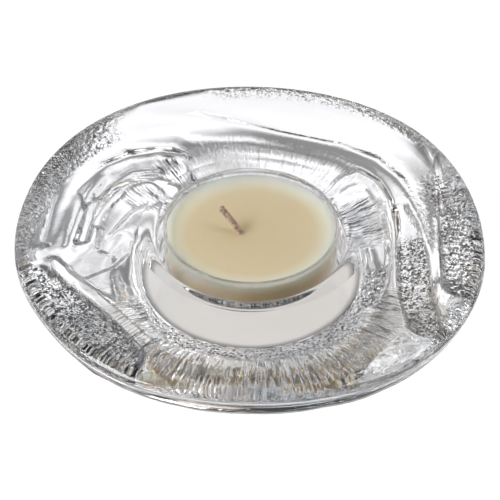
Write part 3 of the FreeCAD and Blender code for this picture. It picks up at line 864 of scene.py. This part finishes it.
def light_pattern():
    X, Y, Z = SURFACE["X"][:, ::3], SURFACE["Y"][:, ::3], SURFACE["Z"][:, ::3]
    R = np.hypot(X, Y)
    widest = int(np.argmax(R.mean(1)))
    nang = R.shape[1]
    lo_r = np.maximum.accumulate(R[:widest + 1], 0)
    lo_z = Z[:widest + 1]
    hi_r = np.minimum.accumulate(R[widest:], 0)[::-1]
    hi_z = Z[widest:][::-1]
    nr = 400
    r_max = 53.5
    rr, under = polar_height(lo_r, lo_z, nr, 0.0, r_max)
    _, over = polar_height(hi_r, hi_z, nr, 0.0, r_max)
    rim = R[widest]
    # regular plan grid of both surfaces
    step = 0.25
    g = np.arange(-54, 54 + step, step)
    GX, GY = np.meshgrid(g, g, indexing="ij")
    gr = np.hypot(GX, GY)
    ga = (np.arctan2(GY, GX) % TAU) / TAU * nang
    i0 = np.floor(ga).astype(int) % nang
    f = ga - np.floor(ga)
    q = np.clip(gr / r_max * (nr - 1), 0, nr - 1.001)
    j0 = q.astype(int)
    h = q - j0

    def table(t):
        a = t[i0, j0] * (1 - h) + t[i0, j0 + 1] * h
        b = t[(i0 + 1) % nang, j0] * (1 - h) + t[(i0 + 1) % nang, j0 + 1] * h
        return a * (1 - f) + b * f
    ZU = table(under)
    ZO = table(over)
    edge = rim[i0] * (1 - f) + rim[(i0 + 1) % nang] * f
    inside = (gr < edge - 0.15) & (gr > 20.4)

    def gradient(z):
        return np.gradient(z, step, axis=0), np.gradient(z, step, axis=1)

    def sample(field, x, y):
        u = np.clip((x + 54) / step, 0, len(g) - 1.001)
        v = np.clip((y + 54) / step, 0, len(g) - 1.001)
        i = u.astype(int)
        j = v.astype(int)
        a = u - i
        b = v - j
        return ((field[i, j] * (1 - a) + field[i + 1, j] * a) * (1 - b)
                + (field[i, j + 1] * (1 - a) + field[i + 1, j + 1] * a) * b)
    ux, uy = gradient(ZU)
    ox, oy = gradient(ZO)
    rng = np.random.RandomState(21)
    hits = np.zeros((CELLS, CELLS))
    px, py = GX[inside], GY[inside]
    pz = ZO[inside]
    norm_o = np.stack([-ox[inside], -oy[inside], np.ones(px.size)], 1)
    norm_o /= np.linalg.norm(norm_o, axis=1)[:, None]
    cell = 2 * HALF / CELLS
    n_dirs = 14
    for _ in range(n_dirs):
        d = np.array([rng.normal(0.0, 0.16), -0.25 + rng.normal(0, 0.16), -1.0])
        d /= np.linalg.norm(d)
        D = np.broadcast_to(d, (px.size, 3))
        t1, ok = refract(D, norm_o, 1 / 1.51)
        # walk down to the underside
        x, y, z = px.copy(), py.copy(), pz.copy()
        for _i in range(6):
            zt = sample(ZU, x, y)
            s = (zt - z) / np.minimum(t1[:, 2], -0.2)
            x = x + t1[:, 0] * s
            y = y + t1[:, 1] * s
            z = z + t1[:, 2] * s
        nx, ny = sample(ux, x, y), sample(uy, x, y)
        n = np.stack([-nx, -ny, np.ones(px.size)], 1)
        n /= np.linalg.norm(n, axis=1)[:, None]
        t2, ok2 = refract(t1, n, 1.51)
        good = ok & ok2 & (t2[:, 2] < -0.08)
        s = z[good] / -t2[good, 2]
        fx = x[good] + t2[good, 0] * s
        fy = y[good] + t2[good, 1] * s
        w = 0.92 * np.ones(fx.size)
        hh, _a, _b = np.histogram2d(fx, fy, bins=CELLS, range=[[-HALF, HALF], [-HALF, HALF]], weights=w)
        hits += hh
    # light that passes outside the glass reaches the table unchanged
    expected = n_dirs * (cell / step) ** 2
    pat = hits / expected
    c = (np.arange(CELLS) + 0.5) * cell - HALF
    CX, CY = np.meshgrid(c, c, indexing="ij")
    ca = (np.arctan2(CY + 5.0, CX) % TAU) / TAU * nang
    er = rim[np.floor(ca).astype(int) % nang]
    outside = smooth01((np.hypot(CX, CY + 5.0) - er + 2.0) / 6.0)
    pat = pat + outside
    # soften by the width of the light
    k = np.exp(-(np.arange(-2, 3) / 1.1) ** 2)
    k /= k.sum()
    for ax in (0, 1):
        pat = sum(np.roll(pat, i - 2, axis=ax) * k[i] for i in range(5))
    return c, pat


# Level of the table light against the distance from the axis, behind and in front of it.
FLOOR_BACK = ((0.0, 0.68), (22.6, 0.68), (23.8, 0.20), (26.8, 0.22), (28.2, 0.90), (36.0, 0.96), (60.0, 0.97),
              (72.0, 0.66), (90.0, 0.22), (400.0, 0.14))
FLOOR_FRONT = ((0.0, 0.66), (22.6, 0.63), (23.8, 0.12), (26.8, 0.12), (27.8, 0.60), (32.0, 0.58), (35.0, 0.22),
               (44.0, 0.12), (50.0, 0.40), (62.0, 0.70), (76.0, 0.35), (92.0, 0.06), (400.0, 0.03))
FILL = 0.22
FOCUS = 0.76


def floor_level(x, y):
    r = np.hypot(x, y)
    ahead = np.interp(r, [p[0] for p in FLOOR_FRONT], [p[1] for p in FLOOR_FRONT])
    behind = np.interp(r, [p[0] for p in FLOOR_BACK], [p[1] for p in FLOOR_BACK])
    f = smooth01((y / np.maximum(r, 1e-6) + 0.45) / 0.6)
    return ahead * (1 - f) + behind * f


c, pattern = light_pattern()
n = len(c)
cc = np.concatenate([[-2500.0], c, [2500.0]])
gx, gy = np.meshgrid(cc, cc, indexing="ij")
broad = pattern.copy()
kern = np.exp(-(np.arange(-30, 31) / 17.0) ** 2)
kern /= kern.sum()
for ax in (0, 1):
    pad = np.pad(broad, [(30, 30) if a == ax else (0, 0) for a in (0, 1)], mode="edge")
    broad = sum(np.take(pad, range(i, i + n), axis=ax) * kern[i] for i in range(61))
val = np.zeros((n + 2, n + 2))
val[1:-1, 1:-1] = pattern / (0.25 + 0.75 * broad)
val[0, :], val[-1, :], val[:, 0], val[:, -1] = 1.0, 1.0, 1.0, 1.0
under_foot = smooth01((np.hypot(gx, gy) - 22.0) / 4.0)
lum = (1.0 + (FILL + FOCUS * np.minimum(val, 1.6) - 1.0) * under_foot) * floor_level(gx, gy)
table_me = bpy.data.meshes.new("studio_floor_light")
m = n + 2
table_me.vertices.add(m * m)
table_me.vertices.foreach_set("co", np.stack([gx.ravel() * MM, gy.ravel() * MM, np.zeros(m * m)], 1)
                              .astype(np.float32).ravel())
ii, jj = np.meshgrid(np.arange(m - 1), np.arange(m - 1), indexing="ij")
quad = np.stack([ii * m + jj, (ii + 1) * m + jj, (ii + 1) * m + jj + 1, ii * m + jj + 1], -1).reshape(-1, 4)
table_me.loops.add(quad.size)
table_me.loops.foreach_set("vertex_index", quad.astype(np.int32).ravel())
table_me.polygons.add(len(quad))
table_me.polygons.foreach_set("loop_start", (np.arange(len(quad)) * 4).astype(np.int32))
table_me.update(calc_edges=True)
table_me.validate()
set_float(table_me, "light", lum.ravel())
gr = np.hypot(gx, gy)
warm = np.maximum(smooth01((0.25 - gy / np.maximum(gr, 1e-6)) / 0.7), smooth01((26.0 - gr) / 3.0))
set_float(table_me, "warm", warm.ravel())
table = bpy.data.objects.new("studio_floor_light", table_me)
table.location = (0, 0, -0.00015)
scene.collection.objects.link(table)
table.visible_camera = False
tmat = bpy.data.materials.new("studio_floor_light")
tmat.use_nodes = True
nt_t = tmat.node_tree
for nd in list(nt_t.nodes):
    nt_t.nodes.remove(nd)
t_out = nt_t.nodes.new("ShaderNodeOutputMaterial")
bs_t = nt_t.nodes.new("ShaderNodeBsdfPrincipled")
bs_t.inputs["Base Color"].default_value = (0.05, 0.05, 0.05, 1)
bs_t.inputs["Roughness"].default_value = 0.9
bs_t.inputs["Specular IOR Level"].default_value = 0.0
bs_t.inputs["Emission Strength"].default_value = 1.0
t_att = node(nt_t, "ShaderNodeAttribute", attribute_name="light")
t_warm = nt_t.nodes.new("ShaderNodeAttribute")
t_warm.attribute_name = "warm"
t_tint = nt_t.nodes.new("ShaderNodeValToRGB")
t_tint.color_ramp.elements[0].color = (0.975, 0.972, 1.0, 1)
t_tint.color_ramp.elements[1].color = (1.0, 0.972, 0.945, 1)
nt_t.links.new(t_warm.outputs["Fac"], t_tint.inputs[0])
t_mul = nt_t.nodes.new("ShaderNodeVectorMath")
t_mul.operation = "SCALE"
nt_t.links.new(t_tint.outputs[0], t_mul.inputs[0])
nt_t.links.new(t_att.outputs["Fac"], t_mul.inputs["Scale"])
nt_t.links.new(t_mul.outputs[0], bs_t.inputs["Emission Color"])
nt_t.links.new(bs_t.outputs[0], t_out.inputs[0])
table_me.materials.append(tmat)

world = bpy.data.worlds.new("studio_world")
scene.world = world
world.use_nodes = True
wn = world.node_tree
for n in list(wn.nodes):
    wn.nodes.remove(n)
wout = wn.nodes.new("ShaderNodeOutputWorld")
bg = wn.nodes.new("ShaderNodeBackground")
wn.links.new(bg.outputs[0], wout.inputs[0])
tcw = wn.nodes.new("ShaderNodeTexCoord")
sepw = wn.nodes.new("ShaderNodeSeparateXYZ")
wn.links.new(tcw.outputs["Generated"], sepw.inputs[0])
# a dim room with a few pale panels: (azimuth, elevation, half width, level, tint), degrees
ROOM = (0.015, 0.015, 0.017)
WARM, COOL, PLAIN = (1.0, 0.93, 0.84), (0.84, 0.92, 1.0), (1.0, 1.0, 1.0)
PANELS = [(72, 46, 14, 1.05, WARM), (110, 46, 14, 1.05, COOL), (30, 24, 13, 1.3, PLAIN), (152, 26, 12, 1.2, COOL),
          (80, 8, 8, 0.9, WARM), (181, 8, 11, 1.1, COOL), (0, 12, 10, 1.0, PLAIN), (290, 30, 6, 0.7, WARM),
          (240, 22, 6, 0.8, COOL)]
total = None
for az, el, half, level, tint in PANELS:
    dp = wn.nodes.new("ShaderNodeVectorMath")
    dp.operation = "DOT_PRODUCT"
    wn.links.new(tcw.outputs["Generated"], dp.inputs[0])
    a, e = math.radians(az), math.radians(el)
    dp.inputs[1].default_value = (math.cos(a) * math.cos(e), math.sin(a) * math.cos(e), math.sin(e))
    mr = wn.nodes.new("ShaderNodeMapRange")
    mr.interpolation_type = "SMOOTHSTEP"
    mr.inputs["From Min"].default_value = math.cos(math.radians(half * 1.2))
    mr.inputs["From Max"].default_value = math.cos(math.radians(half * 0.8))
    mr.inputs["To Min"].default_value = 0.0
    mr.inputs["To Max"].default_value = level
    wn.links.new(dp.outputs["Value"], mr.inputs["Value"])
    sc_ = wn.nodes.new("ShaderNodeVectorMath")
    sc_.operation = "SCALE"
    sc_.inputs[0].default_value = tint
    wn.links.new(mr.outputs["Result"], sc_.inputs["Scale"])
    ad = wn.nodes.new("ShaderNodeVectorMath")
    ad.operation = "ADD"
    wn.links.new(sc_.outputs[0], ad.inputs[0])
    if total is None:
        ad.inputs[1].default_value = ROOM
    else:
        wn.links.new(total, ad.inputs[1])
    total = ad.outputs[0]
wn.links.new(total, bg.inputs[0])
bg.inputs[1].default_value = 1.0


def area(name, loc, size, power, target=(0, 0, 0.01), color=(1, 1, 1)):
    li = bpy.data.lights.new(name, "AREA")
    li.shape = "RECTANGLE"
    li.size, li.size_y = size
    li.energy = power
    li.color = color
    ob = bpy.data.objects.new(name, li)
    ob.location = loc
    d = Vector(target) - Vector(loc)
    ob.rotation_euler = d.to_track_quat("-Z", "Y").to_euler()
    scene.collection.objects.link(ob)
    return ob


area("softbox_left", (-0.70, -0.28, 0.66), (0.50, 0.40), 7.0)
area("softbox_right", (0.468, 0.04, 0.883), (0.46, 0.40), 3.0)

ELEV = math.radians(41.5)
DIST = 0.900
PX_PER_MM = 4.57
fwd = Vector((0, math.cos(ELEV), -math.sin(ELEV)))
up = Vector((0, math.sin(ELEV), math.cos(ELEV)))
right = Vector((1, 0, 0))
target = Vector((0, 0, GLASS_H * MM)) - right * (1.0 / PX_PER_MM * MM) - up * (17.0 / PX_PER_MM * MM)
cam = bpy.data.cameras.new("camera")
cam.sensor_fit = "HORIZONTAL"
cam.sensor_width = 36.0
cam.lens = PX_PER_MM * DIST * 1000.0 / 500.0 * 36.0
cam.clip_start = 0.01
cam.clip_end = 20.0
camo = bpy.data.objects.new("camera", cam)
camo.location = target - fwd * DIST
camo.rotation_euler = fwd.to_track_quat("-Z", "Y").to_euler()
scene.collection.objects.link(camo)
scene.camera = camo

scene.view_settings.view_transform = "Standard"
scene.view_settings.look = "None"
scene.view_settings.exposure = 0.0
scene.view_settings.gamma = 1.0
if hasattr(scene, "cycles"):
    cy = scene.cycles
    cy.max_bounces = 24
    cy.transmission_bounces = 24
    cy.glossy_bounces = 24
    cy.diffuse_bounces = 4
    cy.transparent_max_bounces = 16
    cy.caustics_reflective = True
    cy.caustics_refractive = True
    cy.blur_glossy = 0.0
    cy.sample_clamp_indirect = 8.0
